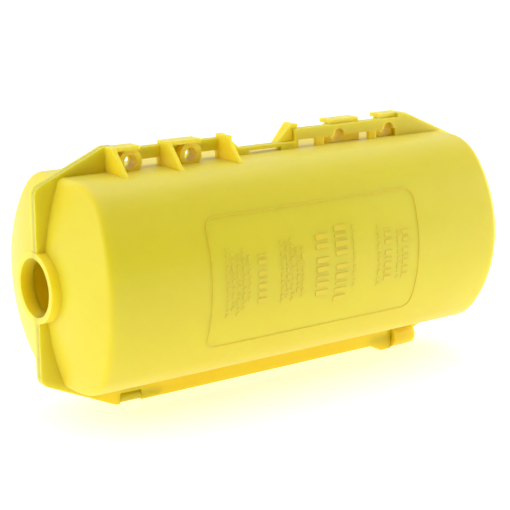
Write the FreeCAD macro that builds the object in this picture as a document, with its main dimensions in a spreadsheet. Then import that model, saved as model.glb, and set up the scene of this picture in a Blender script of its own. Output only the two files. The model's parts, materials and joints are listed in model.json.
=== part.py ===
import FreeCAD, Part
import os
import Sketcher
from FreeCAD import Placement, Rotation, Vector

# Clamshell lockout case for a large electrical plug.
# X runs along the cord, which leaves towards -X.  Z is up, towards the padlock rail, and -Y is the front.
# The origin is the middle of the cord opening's mouth, in the plane where the two halves meet.
# Each half is drawn on its own -Y side about the middle of the barrel.  The back half is then turned
# 180 degrees about Z, and every sub-part is moved so that the mouth of the cord opening is at the origin.

DIMENSIONS = {
    # barrel with domed ends
    "barrel_reach": 106.3,
    "half_height": 45.7,
    "half_depth": 44.4,
    "front_edge": 24.4,
    "inner_front_edge": 23.4,
    "shoulder_radius": 23.0,
    "wall": 2.4,
    "dome_rise": 8.4,
    "crease_radius": 3.0,
    "groove_rise": 62.0,
    "groove_reach": 130.0,
    # cord opening
    "cord_radius": 12.7,
    "collar_wall": 2.6,
    "collar_reach": 118.1,
    "collar_length": 10.0,
    "bore_length": 14.0,
    # flange round the seam
    "flange_thickness": 2.2,
    "flange_reach": 117.6,
    "end_top": 42.0,
    "end_bottom": 42.5,
    "corner_radius": 5.0,
    "lug_top": 56.6,
    "bar_top": 54.6,
    "middle_top": 49.0,
    "flange_drop": 58.6,
    "lower_corner": 81.5,
    # padlock rail, as distances from the middle
    "outer_lug_out": 84.0,
    "outer_lug_in": 70.0,
    "inner_lug_out": 56.5,
    "inner_lug_in": 39.0,
    "front_guide": 26.0,
    "back_guide": 20.0,
    "guide_top_width": 3.5,
    "guide_slope": 8.0,
    "plain_start": 17.0,
    "plain_end": 80.0,
    "web_thickness": 2.0,
    "web_reach": 19.0,
    "web_foot": 44.2,
    "hood_reach": 8.0,
    "hood_underside": 54.8,
    "root": 1.0,
    "eye_radius": 3.2,
    "eye_height": 49.4,
    "outer_eye": 73.5,
    "inner_eye": 43.0,
    "boss_round": 5.6,
    "boss_length": 6.0,
    # windows in the rail
    "window_top": 49.4,
    "web_inset": 0.5,
    "inner_post": 29.5,
    "outer_post": 61.5,
    "post_width": 4.3,
    "last_window": 78.0,
    "back_window_end": 38.0,
    "back_second_start": 50.5,
    "back_second_end": 69.5,
    "slit_top": 47.3,
    "slit_reach": 9.0,
    # hinge along the lower edge, with stations along X
    "hinge_drop": 56.4,
    "knuckle_radius": 2.2,
    "block_radius": 5.2,
    "pin_radius": 1.1,
    "pin_hold": 1.12,
    "pin_run": 1.16,
    "hinge_gap": 0.4,
    "near_outer": 79.0,
    "near_split": 69.0,
    "near_inner": 58.0,
    "far_inner": 64.0,
    "tab_start": 71.0,
    "far_split": 78.0,
    "far_outer": 91.0,
    "tab_drop": 61.8,
    "pin_inset": 1.0,
    "sweep_reach": 90.0,
    "sweep_top": 50.7,
    "tab_sweep_top": 47.9,
    "below": 70.0,
}

FULL_TURN = 360.0
# lengths nearer than this count as equal, and an edge this far in front of the seam is not part of it
TOUCH = 0.01
OFF_SEAM = -1.0
NORMAL = Vector(0, 0, 1)


def make_sheet(doc):
    sheet = doc.addObject("Spreadsheet::Sheet", "Dims")
    for row, (alias, value) in enumerate(DIMENSIONS.items(), start=1):
        sheet.set("A%d" % row, alias)
        sheet.set("B%d" % row, str(value))
        sheet.setAlias("B%d" % row, alias)
    doc.recompute()
    return sheet


def number(sheet, text):
    """The value of a signed sum of sheet cells, such as '- wall + half_height'."""
    total = 0.0
    sign = 1.0
    for word in text.split():
        if word in ("+", "-"):
            sign = 1.0 if word == "+" else -1.0
        elif word in DIMENSIONS:
            total += sign * float(sheet.get(word))
    return total


def formula(text):
    return " ".join("Dims." + word if word in DIMENSIONS else word for word in text.split())


def opposite(text):
    """The same signed sum with every sign turned round."""
    words = text.split()
    if words[0] not in ("+", "-"):
        words.insert(0, "+")
    swap = {"+": "-", "-": "+"}
    return " ".join(swap.get(word, word) for word in words)


def plane(body, role):
    return next(feature for feature in body.Origin.OriginFeatures if feature.Role == role)


def new_sketch(body, name, role, offset=None):
    """A sketch on one of the body's own origin planes, moved along its normal where an offset is given."""
    sketch = body.newObject("Sketcher::SketchObject", name)
    sketch.AttachmentSupport = [(plane(body, role), "")]
    sketch.MapMode = "FlatFace"
    if offset:
        sketch.setExpression("AttachmentOffset.Base.z", formula(offset))
    return sketch


def fix_axis(sheet, sketch, kind, axis, geometry, end, text):
    value = number(sheet, text)
    if value == 0.0:
        sketch.addConstraint(Sketcher.Constraint("PointOnObject", geometry, end, axis))
        return
    index = sketch.addConstraint(Sketcher.Constraint(kind, -1, 1, geometry, end, value))
    sketch.setExpression("Constraints[%d]" % index, formula(text))


def fix_point(sheet, sketch, geometry, end, across, up):
    """Hold one point of a sketch at signed sums of sheet cells."""
    fix_axis(sheet, sketch, "DistanceX", -2, geometry, end, across)
    fix_axis(sheet, sketch, "DistanceY", -1, geometry, end, up)


def fix_radius(sheet, sketch, geometry, text):
    index = sketch.addConstraint(Sketcher.Constraint("Radius", geometry, number(sheet, text)))
    sketch.setExpression("Constraints[%d]" % index, formula(text))


def outline(sheet, sketch, corners):
    """A closed polygon whose corners are pairs of signed sums of sheet cells."""
    points = [Vector(number(sheet, across), number(sheet, up), 0) for across, up in corners]
    count = len(points)
    first = sketch.GeometryCount
    for index, point in enumerate(points):
        sketch.addGeometry(Part.LineSegment(point, points[(index + 1) % count]), False)
    for index, (across, up) in enumerate(corners):
        after = first + (index + 1) % count
        sketch.addConstraint(Sketcher.Constraint("Coincident", first + index, 2, after, 1))
        fix_point(sheet, sketch, first + index, 1, across, up)


def rectangle(sheet, sketch, left, right, low, high):
    outline(sheet, sketch, [(left, low), (right, low), (right, high), (left, high)])


def disc(sheet, sketch, across, up, radius):
    centre = Vector(number(sheet, across), number(sheet, up), 0)
    circle = sketch.addGeometry(Part.Circle(centre, NORMAL, number(sheet, radius)), False)
    fix_point(sheet, sketch, circle, 3, across, up)
    fix_radius(sheet, sketch, circle, radius)


def half_disc(sheet, sketch, radius):
    """A half disc about the cord's axis, on the -Y side."""
    size = number(sheet, radius)
    low = Vector(0, -size, 0)
    high = Vector(0, size, 0)
    arc = sketch.addGeometry(Part.Arc(high, Vector(-size, 0, 0), low), False)
    line = sketch.addGeometry(Part.LineSegment(low, high), False)
    sketch.addConstraint(Sketcher.Constraint("Coincident", arc, 2, line, 1))
    sketch.addConstraint(Sketcher.Constraint("Coincident", line, 2, arc, 1))
    sketch.addConstraint(Sketcher.Constraint("Coincident", arc, 3, -1, 1))
    sketch.addConstraint(Sketcher.Constraint("PointOnObject", arc, 1, -2))
    fix_radius(sheet, sketch, arc, radius)


def barrel_section(sheet, sketch, inset, corner):
    """Half of the barrel's section: flat top and bottom, joined by one shallow arc across the front."""
    height = "half_height" + inset
    depth = "- half_depth" + inset.replace("-", "+")
    edge = "- " + corner
    top = Vector(number(sheet, edge), number(sheet, height), 0)
    low = Vector(top.x, -top.y, 0)
    tip = Vector(number(sheet, depth), 0, 0)
    arc = sketch.addGeometry(Part.Arc(top, tip, low), False)
    base = sketch.addGeometry(Part.LineSegment(low, Vector(0, low.y, 0)), False)
    seam = sketch.addGeometry(Part.LineSegment(Vector(0, low.y, 0), Vector(0, top.y, 0)), False)
    roof = sketch.addGeometry(Part.LineSegment(Vector(0, top.y, 0), top), False)
    front = sketch.addGeometry(Part.Point(tip), True)
    for before, after in ((arc, base), (base, seam), (seam, roof), (roof, arc)):
        sketch.addConstraint(Sketcher.Constraint("Coincident", before, 2, after, 1))
    fix_point(sheet, sketch, arc, 1, edge, height)
    fix_point(sheet, sketch, arc, 2, edge, opposite(height))
    fix_point(sheet, sketch, base, 2, "0", opposite(height))
    fix_point(sheet, sketch, seam, 2, "0", height)
    fix_point(sheet, sketch, front, 1, depth, "0")
    sketch.addConstraint(Sketcher.Constraint("PointOnObject", front, 1, arc))


def beyond_dome(sheet, sketch, inset):
    """The region outside one shallow dome, to be turned about X.  It is drawn at the -X end."""
    tip_text = "- barrel_reach - dome_rise" + inset.replace("-", "+")
    crease_across = "- barrel_reach" + inset.replace("-", "+")
    crease_up = "half_height" + inset
    tip = Vector(number(sheet, tip_text), 0, 0)
    crease = Vector(number(sheet, crease_across), number(sheet, crease_up), 0)
    rise = crease.x - tip.x
    radius = (crease.y ** 2 + rise ** 2) / (2 * rise)
    top = number(sheet, "groove_rise")
    high = Vector(tip.x + radius - (radius ** 2 - top ** 2) ** 0.5, top, 0)
    corner = Vector(-number(sheet, "groove_reach"), top, 0)
    foot = Vector(corner.x, 0, 0)
    arc = sketch.addGeometry(Part.Arc(high, crease, tip), False)
    axis = sketch.addGeometry(Part.LineSegment(tip, foot), False)
    end = sketch.addGeometry(Part.LineSegment(foot, corner), False)
    cap = sketch.addGeometry(Part.LineSegment(corner, high), False)
    through = sketch.addGeometry(Part.Point(crease), True)
    for before, after in ((arc, axis), (axis, end), (end, cap), (cap, arc)):
        sketch.addConstraint(Sketcher.Constraint("Coincident", before, 2, after, 1))
    fix_point(sheet, sketch, arc, 2, tip_text, "0")
    fix_point(sheet, sketch, axis, 2, "- groove_reach", "0")
    fix_point(sheet, sketch, end, 2, "- groove_reach", "groove_rise")
    fix_axis(sheet, sketch, "DistanceY", -1, arc, 1, "groove_rise")
    fix_point(sheet, sketch, through, 1, crease_across, crease_up)
    sketch.addConstraint(Sketcher.Constraint("PointOnObject", through, 1, arc))
    sketch.addConstraint(Sketcher.Constraint("PointOnObject", arc, 3, -1))


def add(body, kind, name, sketch, length, reverse=False, symmetric=False):
    """A Pad or Pocket of a sketch, whose length is a signed sum of sheet cells."""
    feature = body.newObject("PartDesign::" + kind, name)
    feature.Profile = sketch
    feature.Reversed = reverse
    if symmetric:
        feature.SideType = "Symmetric"
    feature.setExpression("Length", formula(length))
    return feature


def cut(doc, body, name, sketch, length, reverse=False):
    """A Pocket that has to remove material."""
    before = body.Shape.Volume
    feature = add(body, "Pocket", name, sketch, length, reverse)
    doc.recompute()
    if feature.Shape.Volume >= before:
        raise RuntimeError(name + " removes nothing")
    return feature


def fillet(doc, body, name, radius, chosen):
    """Round the edges of the body's tip that a test picks out."""
    base = body.Tip
    names = ["Edge%d" % (index + 1) for index, edge in enumerate(base.Shape.Edges) if chosen(edge)]
    feature = body.newObject("PartDesign::Fillet", name)
    feature.Base = (base, names)
    feature.setExpression("Radius", formula(radius))
    doc.recompute()
    return feature


def along_x(edge):
    return edge.BoundBox.YLength < TOUCH and edge.BoundBox.ZLength < TOUCH


def through_plate(edge):
    return edge.BoundBox.XLength < TOUCH and edge.BoundBox.ZLength < TOUCH


def turned_dome(doc, sheet, body, name, inset, far):
    """Trim one end of the barrel to a shallow dome."""
    sketch = new_sketch(body, name + "_sketch", "XY_Plane")
    beyond_dome(sheet, sketch, inset)
    if far:
        sketch.AttachmentOffset = Placement(Vector(), Rotation(Vector(0, 1, 0), FULL_TURN / 2))
    groove = body.newObject("PartDesign::Groove", name)
    groove.Profile = sketch
    groove.ReferenceAxis = (sketch, ["H_Axis"])
    groove.Angle = FULL_TURN
    doc.recompute()


def capsule(doc, sheet, name, inset, corner, corner_radius):
    """A half barrel with two domed ends, the size of the outside less an inset all round."""
    body = doc.addObject("PartDesign::Body", name)
    section = new_sketch(body, name + "_section", "YZ_Plane")
    barrel_section(sheet, section, inset, corner)
    length = "barrel_reach + barrel_reach + dome_rise + dome_rise"
    add(body, "Pad", name + "_barrel", section, length, symmetric=True)
    doc.recompute()
    edge_y = number(sheet, "- " + corner)
    fillet(doc, body, name + "_shoulders", corner_radius,
           lambda edge: along_x(edge) and abs(edge.Vertexes[0].Y - edge_y) < TOUCH)
    turned_dome(doc, sheet, body, name + "_near_dome", inset, far=False)
    turned_dome(doc, sheet, body, name + "_far_dome", inset, far=True)
    return body


def soften_creases(doc, sheet, body, name):
    """Round the edge where each dome meets the barrel."""
    reach = number(sheet, "barrel_reach")
    band = number(sheet, "dome_rise")

    def crease(edge):
        box = edge.BoundBox
        middle = (abs(box.XMin) + abs(box.XMax)) / 2
        return box.XLength < band and abs(middle - reach) < band and box.YMin < OFF_SEAM

    fillet(doc, body, name + "_creases", "crease_radius", crease)


def rail_profile(guide):
    """The upper edge of the flange: hooded lugs at -X, a low middle and a plain bar at +X."""
    return [
        ("- flange_reach", "end_top"),
        ("- outer_lug_out", "lug_top"),
        ("- outer_lug_in", "lug_top"),
        ("- outer_lug_in", "bar_top"),
        ("- inner_lug_out", "bar_top"),
        ("- inner_lug_out", "lug_top"),
        ("- inner_lug_in", "lug_top"),
        ("- inner_lug_in", "bar_top"),
        ("- " + guide, "bar_top"),
        ("- " + guide, "lug_top"),
        ("- " + guide + " + guide_top_width", "lug_top"),
        ("- " + guide + " + guide_top_width + guide_slope", "middle_top"),
        ("plain_start", "middle_top"),
        ("plain_start", "bar_top"),
        ("plain_end", "bar_top"),
        ("plain_end", "lug_top"),
        ("outer_lug_out", "lug_top"),
        ("flange_reach", "end_top"),
    ]


def lower_profile(with_tab):
    """The lower edge of the flange, from +X to -X.  The front half has a tab beside the far knuckle."""
    tab = [
        ("far_split", "- flange_drop"),
        ("far_split", "- tab_drop"),
        ("tab_start", "- tab_drop"),
        ("far_inner", "- flange_drop"),
    ]
    return [
        ("flange_reach", "- end_bottom"),
        ("lower_corner", "- flange_drop"),
    ] + (tab if with_tab else []) + [
        ("- lower_corner", "- flange_drop"),
        ("- flange_reach", "- end_bottom"),
    ]


def add_flange(doc, sheet, body, name, guide, with_tab):
    sketch = new_sketch(body, name + "_flange_sketch", "XZ_Plane")
    outline(sheet, sketch, rail_profile(guide) + lower_profile(with_tab))
    add(body, "Pad", name + "_flange", sketch, "flange_thickness")
    doc.recompute()
    reach = number(sheet, "flange_reach")
    fillet(doc, body, name + "_flange_corners", "corner_radius",
           lambda edge: through_plate(edge) and abs(abs(edge.Vertexes[0].X) - reach) < TOUCH)


def add_web(doc, sheet, body, name, station):
    """A triangular web across the rail, from the lug's top down to the barrel."""
    sketch = new_sketch(body, name + "_sketch", "YZ_Plane", "- " + station)
    corners = [
        ("- root", "web_foot"),
        ("- root", "lug_top"),
        ("- hood_reach", "lug_top"),
        ("- web_reach", "half_height - root"),
        ("- web_reach", "web_foot"),
    ]
    outline(sheet, sketch, corners)
    add(body, "Pad", name, sketch, "web_thickness")
    doc.recompute()


def add_hood(doc, sheet, body, name, outer, inner):
    sketch = new_sketch(body, name + "_sketch", "XZ_Plane")
    rectangle(sheet, sketch, "- " + outer, "- " + inner, "hood_underside", "lug_top")
    add(body, "Pad", name, sketch, "hood_reach")
    doc.recompute()


def cut_windows(doc, sheet, body, name, guide, plain):
    """Openings under the bars of the rail, down to the barrel.  The plain side's own are given as pairs."""
    spans = [
        ("- outer_eye", "- inner_lug_out - web_inset", "window_top"),
        ("- inner_eye", "- " + guide + " - web_inset", "window_top"),
        ("- slit_reach", "slit_reach", "slit_top"),
    ] + [(left, right, "window_top") for left, right in plain]
    for index, (left, right, top) in enumerate(spans, start=1):
        sketch = new_sketch(body, "%s_window_%d_sketch" % (name, index), "XZ_Plane")
        rectangle(sheet, sketch, left, right, "half_height", top)
        cut(doc, body, "%s_window_%d" % (name, index), sketch, "flange_thickness", reverse=True)


def add_eye_bosses(doc, sheet, body, name):
    """Round bosses that carry the padlock eyes under this half's hoods."""
    for index, station in enumerate(("- outer_eye", "- inner_eye"), start=1):
        sketch = new_sketch(body, "%s_boss_%d_sketch" % (name, index), "XZ_Plane")
        disc(sheet, sketch, station, "eye_height", "boss_round")
        add(body, "Pad", "%s_boss_%d" % (name, index), sketch, "boss_length")
        doc.recompute()


def cut_eyes(doc, sheet, body, name):
    """Round holes for padlock shackles, two under this half's hoods and two facing the other half's."""
    stations = ("- outer_eye", "- inner_eye", "inner_eye", "outer_eye")
    for index, station in enumerate(stations, start=1):
        sketch = new_sketch(body, "%s_eye_%d_sketch" % (name, index), "XZ_Plane")
        disc(sheet, sketch, station, "eye_height", "eye_radius")
        cut(doc, body, "%s_eye_%d" % (name, index), sketch, "boss_length", reverse=True)


def add_collar(doc, sheet, body, name, side):
    """Half of the sleeve round the cord, at the end that side gives: - for -X and + for +X."""
    near = side == "-"
    sleeve = new_sketch(body, name + "_collar_sketch", "YZ_Plane", side + " collar_reach")
    half_disc(sheet, sleeve, "cord_radius + collar_wall")
    add(body, "Pad", name + "_collar", sleeve, "collar_length", reverse=not near)
    doc.recompute()


def cut_bore(doc, sheet, body, name, side):
    near = side == "-"
    hole = new_sketch(body, name + "_bore_sketch", "YZ_Plane", side + " collar_reach")
    half_disc(sheet, hole, "cord_radius")
    cut(doc, body, name + "_bore", hole, "bore_length", reverse=near)


def hollow_out(doc, sheet, body, name):
    cavity = capsule(doc, sheet, name + "_cavity", " - wall", "inner_front_edge", "shoulder_radius - wall")
    hollow = body.newObject("PartDesign::Boolean", name + "_hollow")
    hollow.Type = "Cut"
    hollow.setObjects([cavity])
    doc.recompute()


def half_case(doc, sheet, name, guide, side, plain, with_tab):
    """One half of the case without its hinge."""
    body = capsule(doc, sheet, name, "", "front_edge", "shoulder_radius")
    soften_creases(doc, sheet, body, name)
    add_flange(doc, sheet, body, name, guide, with_tab)
    add_collar(doc, sheet, body, name, side)
    add_web(doc, sheet, body, name + "_outer_web", "outer_lug_out")
    add_web(doc, sheet, body, name + "_inner_web", "inner_lug_out")
    add_web(doc, sheet, body, name + "_guide_web", guide)
    add_hood(doc, sheet, body, name + "_outer_hood", "outer_lug_out", "outer_lug_in")
    add_hood(doc, sheet, body, name + "_inner_hood", "inner_lug_out", "inner_lug_in")
    hollow_out(doc, sheet, body, name)
    cut_bore(doc, sheet, body, name, side)
    cut_windows(doc, sheet, body, name, guide, plain)
    add_eye_bosses(doc, sheet, body, name)
    cut_eyes(doc, sheet, body, name)
    return body


def notch(doc, sheet, body, name, left, right, top):
    """Cut the flange away below a level, to clear a part of the other half's hinge."""
    sketch = new_sketch(body, name + "_sketch", "XZ_Plane")
    rectangle(sheet, sketch, left, right, "- below", "- " + top)
    cut(doc, body, name, sketch, "flange_thickness", reverse=True)


def add_knuckle(doc, sheet, body, name, start, length, radius):
    """A round knuckle on the hinge axis, from a station towards +X."""
    sketch = new_sketch(body, name + "_sketch", "YZ_Plane", start)
    disc(sheet, sketch, "0", "- hinge_drop", radius)
    add(body, "Pad", name, sketch, length)
    doc.recompute()


def drill_knuckle(doc, sheet, body, name, start, length, radius):
    sketch = new_sketch(body, name + "_sketch", "YZ_Plane", start)
    disc(sheet, sketch, "0", "- hinge_drop", radius)
    cut(doc, body, name, sketch, length, reverse=True)


def front_shell(doc, sheet):
    plain = [
        ("plain_start + web_inset", "inner_post"),
        ("inner_post + post_width", "outer_post"),
        ("outer_post + post_width", "last_window"),
    ]
    body = half_case(doc, sheet, "front_shell", "front_guide", "-", plain, with_tab=True)
    notch(doc, sheet, body, "near_notch", "- near_outer - hinge_gap", "- near_split + hinge_gap",
          "hinge_drop + knuckle_radius + hinge_gap")
    notch(doc, sheet, body, "far_notch", "far_split - hinge_gap", "far_outer + hinge_gap",
          "hinge_drop + block_radius + hinge_gap")
    add_knuckle(doc, sheet, body, "near_knuckle", "- near_split + hinge_gap",
                "near_split - near_inner - hinge_gap", "knuckle_radius")
    add_knuckle(doc, sheet, body, "far_knuckle", "far_inner",
                "far_split - far_inner - hinge_gap", "knuckle_radius")
    drill_knuckle(doc, sheet, body, "near_pin_bore", "- near_split",
                  "near_split - near_inner - pin_inset", "pin_run")
    drill_knuckle(doc, sheet, body, "far_pin_bore", "far_inner + pin_inset",
                  "far_split - far_inner - pin_inset", "pin_run")
    place(body, "collar_reach", Rotation())
    return body


def back_shell(doc, sheet):
    """Drawn like the front half, so its own +X end is the one with the cord opening."""
    plain = [
        ("plain_start + web_inset", "back_window_end"),
        ("back_second_start", "back_second_end"),
    ]
    body = half_case(doc, sheet, "back_shell", "back_guide", "+", plain, with_tab=False)
    notch(doc, sheet, body, "sweep_notch", "- far_inner + hinge_gap", "sweep_reach", "sweep_top")
    notch(doc, sheet, body, "tab_sweep_notch", "- far_split - hinge_gap", "- far_inner + hinge_gap",
          "tab_sweep_top")
    near_arm(doc, sheet, body)
    add_knuckle(doc, sheet, body, "back_near_knuckle", "near_split",
                "near_outer - near_split", "knuckle_radius")
    add_knuckle(doc, sheet, body, "back_far_boss", "- far_outer",
                "far_outer - far_split", "block_radius")
    drill_knuckle(doc, sheet, body, "back_near_pin_bore", "near_split",
                  "near_outer - near_split", "pin_hold")
    drill_knuckle(doc, sheet, body, "back_far_pin_bore", "- far_outer",
                  "far_outer - far_split", "pin_hold")
    place(body, "collar_reach", Rotation(NORMAL, FULL_TURN / 2))
    return body


def near_arm(doc, sheet, body):
    """The arm that carries the near knuckle down from the trimmed flange."""
    sketch = new_sketch(body, "near_arm_sketch", "XZ_Plane")
    rectangle(sheet, sketch, "near_split", "near_outer", "- hinge_drop", "- sweep_top + root")
    add(body, "Pad", "near_arm", sketch, "knuckle_radius")
    doc.recompute()


def hinge_pin(doc, sheet, name, start, length):
    pin = doc.addObject("Part::Cylinder", name)
    pin.setExpression("Radius", formula("pin_radius"))
    pin.setExpression("Height", formula(length))
    place(pin, "collar_reach " + start, Rotation(Vector(0, 1, 0), FULL_TURN / 4))
    pin.setExpression("Placement.Base.z", formula("- hinge_drop"))
    return pin


def place(item, start, rotation):
    """Turn a sub-part and put it at a station along X, measured from the mouth of the cord opening."""
    item.Placement = Placement(Vector(), rotation)
    item.setExpression("Placement.Base.x", formula(start))


def check(doc, parts):
    doc.recompute()
    for item in doc.Objects:
        if "Invalid" in item.State or "Error" in item.State:
            raise RuntimeError("%s failed: %s" % (item.Name, item.State))
    for item in parts:
        if item.Shape.isNull() or not item.Shape.isValid():
            raise RuntimeError(item.Label + " has no valid shape")


def main():
    doc = FreeCAD.newDocument("plug_lockout")
    sheet = make_sheet(doc)
    parts = [
        front_shell(doc, sheet),
        back_shell(doc, sheet),
        hinge_pin(doc, sheet, "hinge_pin_near", "- near_outer + hinge_gap",
                  "near_outer - near_inner - pin_inset - hinge_gap - hinge_gap"),
        hinge_pin(doc, sheet, "hinge_pin_far", "+ far_inner + pin_inset + hinge_gap",
                  "far_outer - far_inner - pin_inset - hinge_gap - hinge_gap"),
    ]
    check(doc, parts)
    os.makedirs("parts", exist_ok=True)
    for item in parts:
        item.Shape.exportStep("parts/%s.step" % item.Label)
        print(item.Label, "solids", len(item.Shape.Solids), "volume %.0f" % item.Shape.Volume)


main()
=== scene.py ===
import json
import math

import bmesh
import bpy
from mathutils import Matrix, Vector
from mathutils.bvhtree import BVHTree


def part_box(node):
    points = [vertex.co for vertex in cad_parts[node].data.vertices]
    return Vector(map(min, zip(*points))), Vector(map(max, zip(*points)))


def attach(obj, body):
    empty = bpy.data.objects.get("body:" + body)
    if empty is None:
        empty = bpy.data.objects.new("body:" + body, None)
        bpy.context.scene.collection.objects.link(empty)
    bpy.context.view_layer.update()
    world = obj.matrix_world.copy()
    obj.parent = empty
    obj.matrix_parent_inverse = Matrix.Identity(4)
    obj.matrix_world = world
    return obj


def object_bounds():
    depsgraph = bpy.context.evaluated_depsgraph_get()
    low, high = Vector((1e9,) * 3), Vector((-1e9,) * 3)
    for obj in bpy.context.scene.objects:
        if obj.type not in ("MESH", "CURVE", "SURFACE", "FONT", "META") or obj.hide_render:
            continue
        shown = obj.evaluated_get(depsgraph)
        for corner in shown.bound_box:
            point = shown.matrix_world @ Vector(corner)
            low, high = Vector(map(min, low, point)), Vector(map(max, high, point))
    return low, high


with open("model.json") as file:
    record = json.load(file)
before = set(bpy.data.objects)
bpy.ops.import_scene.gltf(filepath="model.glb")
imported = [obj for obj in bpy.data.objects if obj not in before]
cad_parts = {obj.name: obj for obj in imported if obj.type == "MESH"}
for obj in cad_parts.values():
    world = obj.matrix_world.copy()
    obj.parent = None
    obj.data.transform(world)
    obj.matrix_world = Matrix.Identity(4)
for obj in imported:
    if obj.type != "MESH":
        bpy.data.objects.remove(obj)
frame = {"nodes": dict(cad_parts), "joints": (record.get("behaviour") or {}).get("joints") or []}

CAD_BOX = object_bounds()
MM = 0.001

# ---------------------------------------------------------------- places taken from the frame
NODES = frame["nodes"]
HINGE = next(joint for joint in frame["joints"] if joint["name"] == "shell_hinge")
FRONT_LOW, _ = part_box("front_shell")
# the barrel's middle along X lies at the hinge's own reference point
MIDDLE_X = HINGE["pos_m"][0]

# ---------------------------------------------------------------- camera
CAMERA_AZIMUTH = math.radians(35.76)
CAMERA_ELEVATION = math.radians(13.77)
CAMERA_ROLL = math.radians(-0.19)
CAMERA_DISTANCE = 677.8 * MM
CAMERA_LENS = 103.56
SENSOR_WIDTH = 36.0
# the camera looks at a point a little towards the cord opening from the barrel's middle, and below it
AIM_BACK = 4.5 * MM
AIM_DROP = 2.3 * MM

# ---------------------------------------------------------------- room
FLOOR_REACH = 8.0
FLOOR_SIDES = 96
FLOOR_GLOW = 0.44
FLOOR_WHITE = (0.95, 0.95, 0.95, 1)
# brightness on the room's dark and lit sides, and the direction of the lit side
ROOM_DARK = 0.02
ROOM_LIT = 0.88
LIT_SIDE = (-0.05, 0.56, 0.83)
# the room brightens as a ray's dot product with that direction goes from the first of these to the second
FADE_START = -0.35
FADE_END = 0.6

# ---------------------------------------------------------------- colours and finishes
DEEP_YELLOW = (0.89, 0.655, 0.004, 1)
PALE_YELLOW = (0.93, 0.70, 0.008, 1)
DARK_STEEL = (0.42, 0.42, 0.41, 1)
PALE_STEEL = (0.66, 0.66, 0.64, 1)
# the share of the light that scatters under the surface; thin marks with the case's share come out too dark
CASE_GLOW = 0.8
MARK_GLOW = 0.18
# how far it scatters, and the parts of that distance in red, green and blue
GLOW_DEPTH = 8 * MM
GLOW_REACH = (1.0, 0.8, 0.05)
SHEEN = 0.25
SHEEN_TINT = (1.0, 1.0, 0.75, 1.0)
PLASTIC_IOR = 1.5
# noise scales per metre: clouds in the pigment, wear, spark-eroded grain and sink marks
CLOUD_SCALE = 18.0
WEAR_SCALE = 90.0
GRAIN_SCALE = 1600.0
SINK_SCALE = 45.0
GRAIN_HEIGHT = 0.08 * MM
SINK_HEIGHT = 0.3 * MM
# the noise is stretched along X, the way the lines of drawn wire run
DRAWN_SCALE = (30.0, 1500.0, 1500.0)
# a noise is spread so that its values between these two cover the whole change
NOISE_LOW = 0.3
NOISE_HIGH = 0.7

# ---------------------------------------------------------------- the raised label on the front half
# stations along X from the barrel's middle, and heights about the cord's axis
LABEL_LEFT = -58.0 * MM
LABEL_RIGHT = 57.0 * MM
LABEL_HALF_HEIGHT = 28.4 * MM
LABEL_CORNER = 5.0 * MM
RIM_HALF_WIDTH = 0.42 * MM
RIM_RISE = 0.22 * MM
# the flat crown's share of the rim's width
RIM_CROWN = 0.55
BLOCK_RISE = 0.2 * MM
BLOCK_EDGE = 0.3 * MM
# a block has to be longer than this
SHORTEST_BLOCK = 3 * BLOCK_EDGE
# how far the sides of the relief run into the case
ROOTED = 0.2 * MM
# points up a block and round the rim lie at most about this far apart, so that they follow the barrel
STEP = 1.5 * MM
CORNER_STEPS = 8
# rays are cast at the case from this far in front of it
RAY_LEAD = 20 * MM
# lengths of the blocks up a column, in mm, where 0 leaves a space
LARGE = (3.0, 2.6, 1.6, 3.0, 2.8, 0, 2.6, 3.0, 1.6)
MEDIUM = (2.6, 2.4, 2.6, 1.4, 2.6, 0, 2.4, 2.6)
SMALL = (2.2, 1.4, 3.1, 1.8, 2.6, 1.2, 3.4, 2.0, 1.6)
WIDE_GAP = 1.2
FINE_GAP = 0.8
# each group in mm: its left edge, a column's width, the pitch of the columns, the blocks, the gap
# between them, and each column's lower and upper end
LABEL_GROUPS = [
    (-51.0, 1.6, 2.8, SMALL, FINE_GAP, [(-15, 16), (-12, 15), (-15, 13), (-13, 15), (-9, 12)]),
    (-34.7, 4.9, 0.0, MEDIUM, FINE_GAP, [(-11, 11)]),
    (-22.5, 1.6, 2.8, SMALL, FINE_GAP, [(-13, 17), (-11, 15), (-13, 17), (-9, 13), (-12, 12)]),
    (-3.2, 7.2, 10.8, LARGE, WIDE_GAP, [(-13, 16), (-17.4, 19)]),
    (17.6, 1.6, 0.0, SMALL, FINE_GAP, [(-12, 17)]),
    (32.0, 1.8, 0.0, SMALL, FINE_GAP, [(-14, 15)]),
    (36.0, 4.4, 0.0, MEDIUM, FINE_GAP, [(-12, 13)]),
    (43.4, 1.6, 0.0, SMALL, FINE_GAP, [(-12, 12)]),
    (46.6, 3.8, 0.0, MEDIUM, FINE_GAP, [(-12, 12)]),
]


def link(obj):
    bpy.context.scene.collection.objects.link(obj)
    return obj


def make_camera():
    """A long lens at the view's angle, level but for a slight roll."""
    away = Vector((-math.sin(CAMERA_AZIMUTH) * math.cos(CAMERA_ELEVATION),
                   -math.cos(CAMERA_AZIMUTH) * math.cos(CAMERA_ELEVATION),
                   math.sin(CAMERA_ELEVATION)))
    data = bpy.data.cameras.new("camera")
    data.lens = CAMERA_LENS
    data.sensor_width = SENSOR_WIDTH
    camera = link(bpy.data.objects.new("camera", data))
    camera.rotation_mode = "QUATERNION"
    camera.location = Vector((MIDDLE_X - AIM_BACK, 0.0, -AIM_DROP)) + away * CAMERA_DISTANCE
    level = (-away).to_track_quat("-Z", "Y")
    camera.rotation_quaternion = level @ Matrix.Rotation(CAMERA_ROLL, 4, "Z").to_quaternion()
    bpy.context.scene.camera = camera


# ---------------------------------------------------------------- materials
def new_material(name):
    """A material, its node tree and its shader."""
    material = bpy.data.materials.new(name)
    material.use_nodes = True
    tree = material.node_tree
    return material, tree, tree.nodes["Principled BSDF"]


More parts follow.
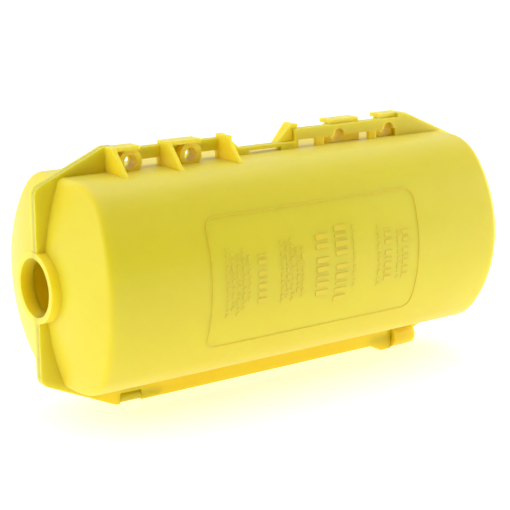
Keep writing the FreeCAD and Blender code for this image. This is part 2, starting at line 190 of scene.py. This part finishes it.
def set_inputs(made, values):
    for name, value in values.items():
        made.inputs[name].default_value = value


def noise(tree, coords, scale, detail, roughness=0.5):
    made = tree.nodes.new("ShaderNodeTexNoise")
    set_inputs(made, {"Scale": scale, "Detail": detail, "Roughness": roughness})
    tree.links.new(coords, made.inputs["Vector"])
    return made.outputs["Fac"]


def tint(tree, source, low, high):
    """A colour that a noise moves between two others."""
    made = tree.nodes.new("ShaderNodeValToRGB")
    first, last = made.color_ramp.elements
    first.position = NOISE_LOW
    last.position = NOISE_HIGH
    first.color = low
    last.color = high
    tree.links.new(source, made.inputs["Fac"])
    return made.outputs["Color"]


def spread(tree, source, low, high):
    """A number that a noise moves between two others."""
    made = tree.nodes.new("ShaderNodeMapRange")
    set_inputs(made, {"From Min": NOISE_LOW, "From Max": NOISE_HIGH, "To Min": low, "To Max": high})
    tree.links.new(source, made.inputs["Value"])
    return made.outputs["Result"]


def bump(tree, source, strength, height):
    made = tree.nodes.new("ShaderNodeBump")
    set_inputs(made, {"Strength": strength, "Distance": height})
    tree.links.new(source, made.inputs["Height"])
    return made


def moulded_yellow(name, glow):
    """Satin polypropylene: faint clouding of the pigment, a fine spark-eroded grain and slight sink."""
    material, tree, shader = new_material(name)
    coords = tree.nodes.new("ShaderNodeTexCoord").outputs["Object"]
    cloud = noise(tree, coords, CLOUD_SCALE, detail=4.0, roughness=0.6)
    wear = noise(tree, coords, WEAR_SCALE, detail=6.0, roughness=0.65)
    grain = noise(tree, coords, GRAIN_SCALE, detail=2.0)
    sink = noise(tree, coords, SINK_SCALE, detail=2.0, roughness=0.4)
    fine = bump(tree, grain, strength=0.1, height=GRAIN_HEIGHT)
    broad = bump(tree, sink, strength=0.2, height=SINK_HEIGHT)
    tree.links.new(tint(tree, cloud, DEEP_YELLOW, PALE_YELLOW), shader.inputs["Base Color"])
    tree.links.new(spread(tree, wear, low=0.38, high=0.46), shader.inputs["Roughness"])
    tree.links.new(broad.outputs["Normal"], fine.inputs["Normal"])
    tree.links.new(fine.outputs["Normal"], shader.inputs["Normal"])
    set_inputs(shader, {
        "IOR": PLASTIC_IOR,
        "Subsurface Weight": glow,
        "Subsurface Radius": GLOW_REACH,
        "Subsurface Scale": GLOW_DEPTH,
        "Sheen Weight": SHEEN,
        "Sheen Roughness": 0.5,
        "Sheen Tint": SHEEN_TINT,
    })
    return material


def drawn_steel(name):
    """Plain drawn wire: fine lines along X and a slightly uneven polish."""
    material, tree, shader = new_material(name)
    coords = tree.nodes.new("ShaderNodeTexCoord").outputs["Object"]
    stretch = tree.nodes.new("ShaderNodeMapping")
    set_inputs(stretch, {"Scale": DRAWN_SCALE})
    tree.links.new(coords, stretch.inputs["Vector"])
    lines = noise(tree, stretch.outputs["Vector"], scale=1.0, detail=3.0)
    tree.links.new(tint(tree, lines, DARK_STEEL, PALE_STEEL), shader.inputs["Base Color"])
    tree.links.new(spread(tree, lines, low=0.28, high=0.42), shader.inputs["Roughness"])
    set_inputs(shader, {"Metallic": 1.0})
    return material


def glowing_white(name):
    """Matt white, with a glow of its own like a lit table."""
    material, _, shader = new_material(name)
    set_inputs(shader, {
        "Base Color": FLOOR_WHITE,
        "Roughness": 0.9,
        "Specular IOR Level": 0.1,
        "Emission Color": (1, 1, 1, 1),
        "Emission Strength": FLOOR_GLOW,
    })
    return material


# ---------------------------------------------------------------- stage and light
def make_floor():
    mesh = bpy.data.meshes.new("floor")
    build = bmesh.new()
    bmesh.ops.create_circle(build, cap_ends=True, radius=FLOOR_REACH, segments=FLOOR_SIDES)
    build.to_mesh(mesh)
    build.free()
    mesh.materials.append(glowing_white("floor_white"))
    floor = link(bpy.data.objects.new("floor", mesh))
    floor.location = (MIDDLE_X, 0.0, CAD_BOX[0].z)


def make_world():
    """A room that is bright above and behind the object and dark in front of it."""
    world = bpy.data.worlds.new("studio")
    world.use_nodes = True
    tree = world.node_tree
    coords = tree.nodes.new("ShaderNodeTexCoord").outputs["Generated"]
    facing = tree.nodes.new("ShaderNodeVectorMath")
    facing.operation = "DOT_PRODUCT"
    facing.inputs[1].default_value = LIT_SIDE
    fade = tree.nodes.new("ShaderNodeMapRange")
    fade.interpolation_type = "SMOOTHSTEP"
    set_inputs(fade, {"From Min": FADE_START, "From Max": FADE_END, "To Min": ROOM_DARK, "To Max": ROOM_LIT})
    tree.links.new(coords, facing.inputs[0])
    tree.links.new(facing.outputs["Value"], fade.inputs["Value"])
    tree.links.new(fade.outputs["Result"], tree.nodes["Background"].inputs["Color"])
    bpy.context.scene.world = world


def softbox(name, place, size, power):
    """A square area light at a place in metres from the barrel's middle, facing it."""
    away = Vector(place)
    data = bpy.data.lights.new(name, "AREA")
    data.shape = "SQUARE"
    data.size = size
    data.energy = power
    light = link(bpy.data.objects.new(name, data))
    light.location = Vector((MIDDLE_X, 0, 0)) + away
    light.rotation_mode = "QUATERNION"
    light.rotation_quaternion = (-away).to_track_quat("-Z", "Y")
    light.visible_camera = False


# ---------------------------------------------------------------- the CAD nodes that stay
def dress(names, material):
    """Give CAD nodes their material, on the object rather than on the mesh."""
    for name in names:
        for slot in NODES[name].material_slots:
            slot.link = "OBJECT"
            slot.material = material


# ---------------------------------------------------------------- the raised label
def surface_of(name):
    """A CAD node's faces in world coordinates, as a tree that rays can be cast at."""
    obj = NODES[name]
    bpy.context.view_layer.update()
    corners = [obj.matrix_world @ vertex.co for vertex in obj.data.vertices]
    faces = [tuple(face.vertices) for face in obj.data.polygons]
    return BVHTree.FromPolygons(corners, faces)


FRONT_SURFACE = surface_of("front_shell")


def on_front(across, up, rise):
    """The point at a station on the front half, raised off its surface."""
    start = Vector((MIDDLE_X + across, FRONT_LOW.y - RAY_LEAD, up))
    place, normal, _, _ = FRONT_SURFACE.ray_cast(start, Vector((0, 1, 0)))
    outward = Vector((0, normal.y, normal.z)).normalized()
    if outward.y > 0:
        outward = -outward
    return place + outward * rise


def mesh_piece(name, build, material):
    mesh = bpy.data.meshes.new(name)
    bmesh.ops.recalc_face_normals(build, faces=build.faces)
    build.to_mesh(mesh)
    build.free()
    mesh.materials.append(material)
    return link(bpy.data.objects.new(name, mesh))


def bridge(build, ring, after):
    """Faces between two closed rings of the same number of points."""
    for index in range(len(ring)):
        other = (index + 1) % len(ring)
        build.faces.new((ring[index], ring[other], after[other], after[index]))


def rounded_loop(left, right, half_height, corner):
    """Points and outward directions round a rounded rectangle, close enough together to follow a curve."""
    centres = [
        (right - corner, half_height - corner),
        (left + corner, half_height - corner),
        (left + corner, corner - half_height),
        (right - corner, corner - half_height),
    ]
    points = []
    for quarter, centre in enumerate(centres):
        for step in range(CORNER_STEPS + 1):
            angle = (quarter + step / CORNER_STEPS) * math.pi / 2
            out = Vector((math.cos(angle), math.sin(angle)))
            points.append((Vector(centre) + out * corner, out))
    dense = []
    for index, (point, out) in enumerate(points):
        after, _ = points[(index + 1) % len(points)]
        count = max(1, round((after - point).length / STEP))
        dense += [(point.lerp(after, part / count), out) for part in range(count)]
    return dense


def label_rim(material):
    """A low ridge with a flat crown round the label."""
    build = bmesh.new()
    crown = RIM_HALF_WIDTH * RIM_CROWN
    section = [(-RIM_HALF_WIDTH, -ROOTED), (-crown, RIM_RISE), (crown, RIM_RISE), (RIM_HALF_WIDTH, -ROOTED)]
    rings = []
    for point, out in rounded_loop(LABEL_LEFT, LABEL_RIGHT, LABEL_HALF_HEIGHT, LABEL_CORNER):
        spots = [(point + out * aside, rise) for aside, rise in section]
        rings.append([build.verts.new(on_front(spot.x, spot.y, rise)) for spot, rise in spots])
    for ring, after in zip(rings, rings[1:] + rings[:1]):
        bridge(build, ring, after)
    return mesh_piece("label_rim", build, material)


def raised_block(build, left, right, low, high):
    """One block that follows the barrel's curve, with sloped sides."""
    crown = high - low - 2 * BLOCK_EDGE
    count = max(1, math.ceil(crown / STEP))
    inner = [low + BLOCK_EDGE + crown * part / count for part in range(count + 1)]
    stations = [(low, -ROOTED)] + [(up, BLOCK_RISE) for up in inner] + [(high, -ROOTED)]
    rows = []
    for up, rise in stations:
        inset = 0.0 if rise < 0 else BLOCK_EDGE
        section = [(left, -ROOTED), (left + inset, rise), (right - inset, rise), (right, -ROOTED)]
        rows.append([build.verts.new(on_front(across, up, height)) for across, height in section])
    for row, after in zip(rows, rows[1:]):
        bridge(build, row, after)
    build.faces.new(rows[0])
    build.faces.new(rows[-1][::-1])


def block_column(build, left, right, low, high, pattern, gap):
    """A column of blocks up the barrel, whose lengths the pattern gives in turn."""
    up = low
    index = 0
    while up < high:
        length = pattern[index % len(pattern)] * MM
        top = min(up + length, high)
        if length > 0 and top - up > SHORTEST_BLOCK:
            raised_block(build, left, right, up, top)
        up = top + gap if length > 0 else up + 2 * gap
        index += 1


def label_blocks(material):
    """Plain blocks in columns where the case carries its moulded notice, without any letters."""
    build = bmesh.new()
    for start, width, pitch, pattern, gap, spans in LABEL_GROUPS:
        for index, (low, high) in enumerate(spans):
            left = start + index * pitch
            block_column(build, left * MM, (left + width) * MM, low * MM, high * MM, pattern, gap * MM)
    return mesh_piece("label_blocks", build, material)


make_camera()
make_floor()
make_world()
softbox("key_left", (-1.0, 0.1, 0.25), size=0.7, power=2.4)
softbox("fill_right", (0.8, -0.28, 0.14), size=0.4, power=3.2)
softbox("top", (0.15, 0.25, 1.1), size=0.9, power=3.4)
bpy.context.scene.view_settings.view_transform = "Standard"

dress(["front_shell", "back_shell"], moulded_yellow("case_yellow", CASE_GLOW))
dress(["hinge_pin_near", "hinge_pin_far"], drawn_steel("pin_steel"))

mark_yellow = moulded_yellow("mark_yellow", MARK_GLOW)
for piece in (label_rim(mark_yellow), label_blocks(mark_yellow)):
    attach(piece, "front_half")
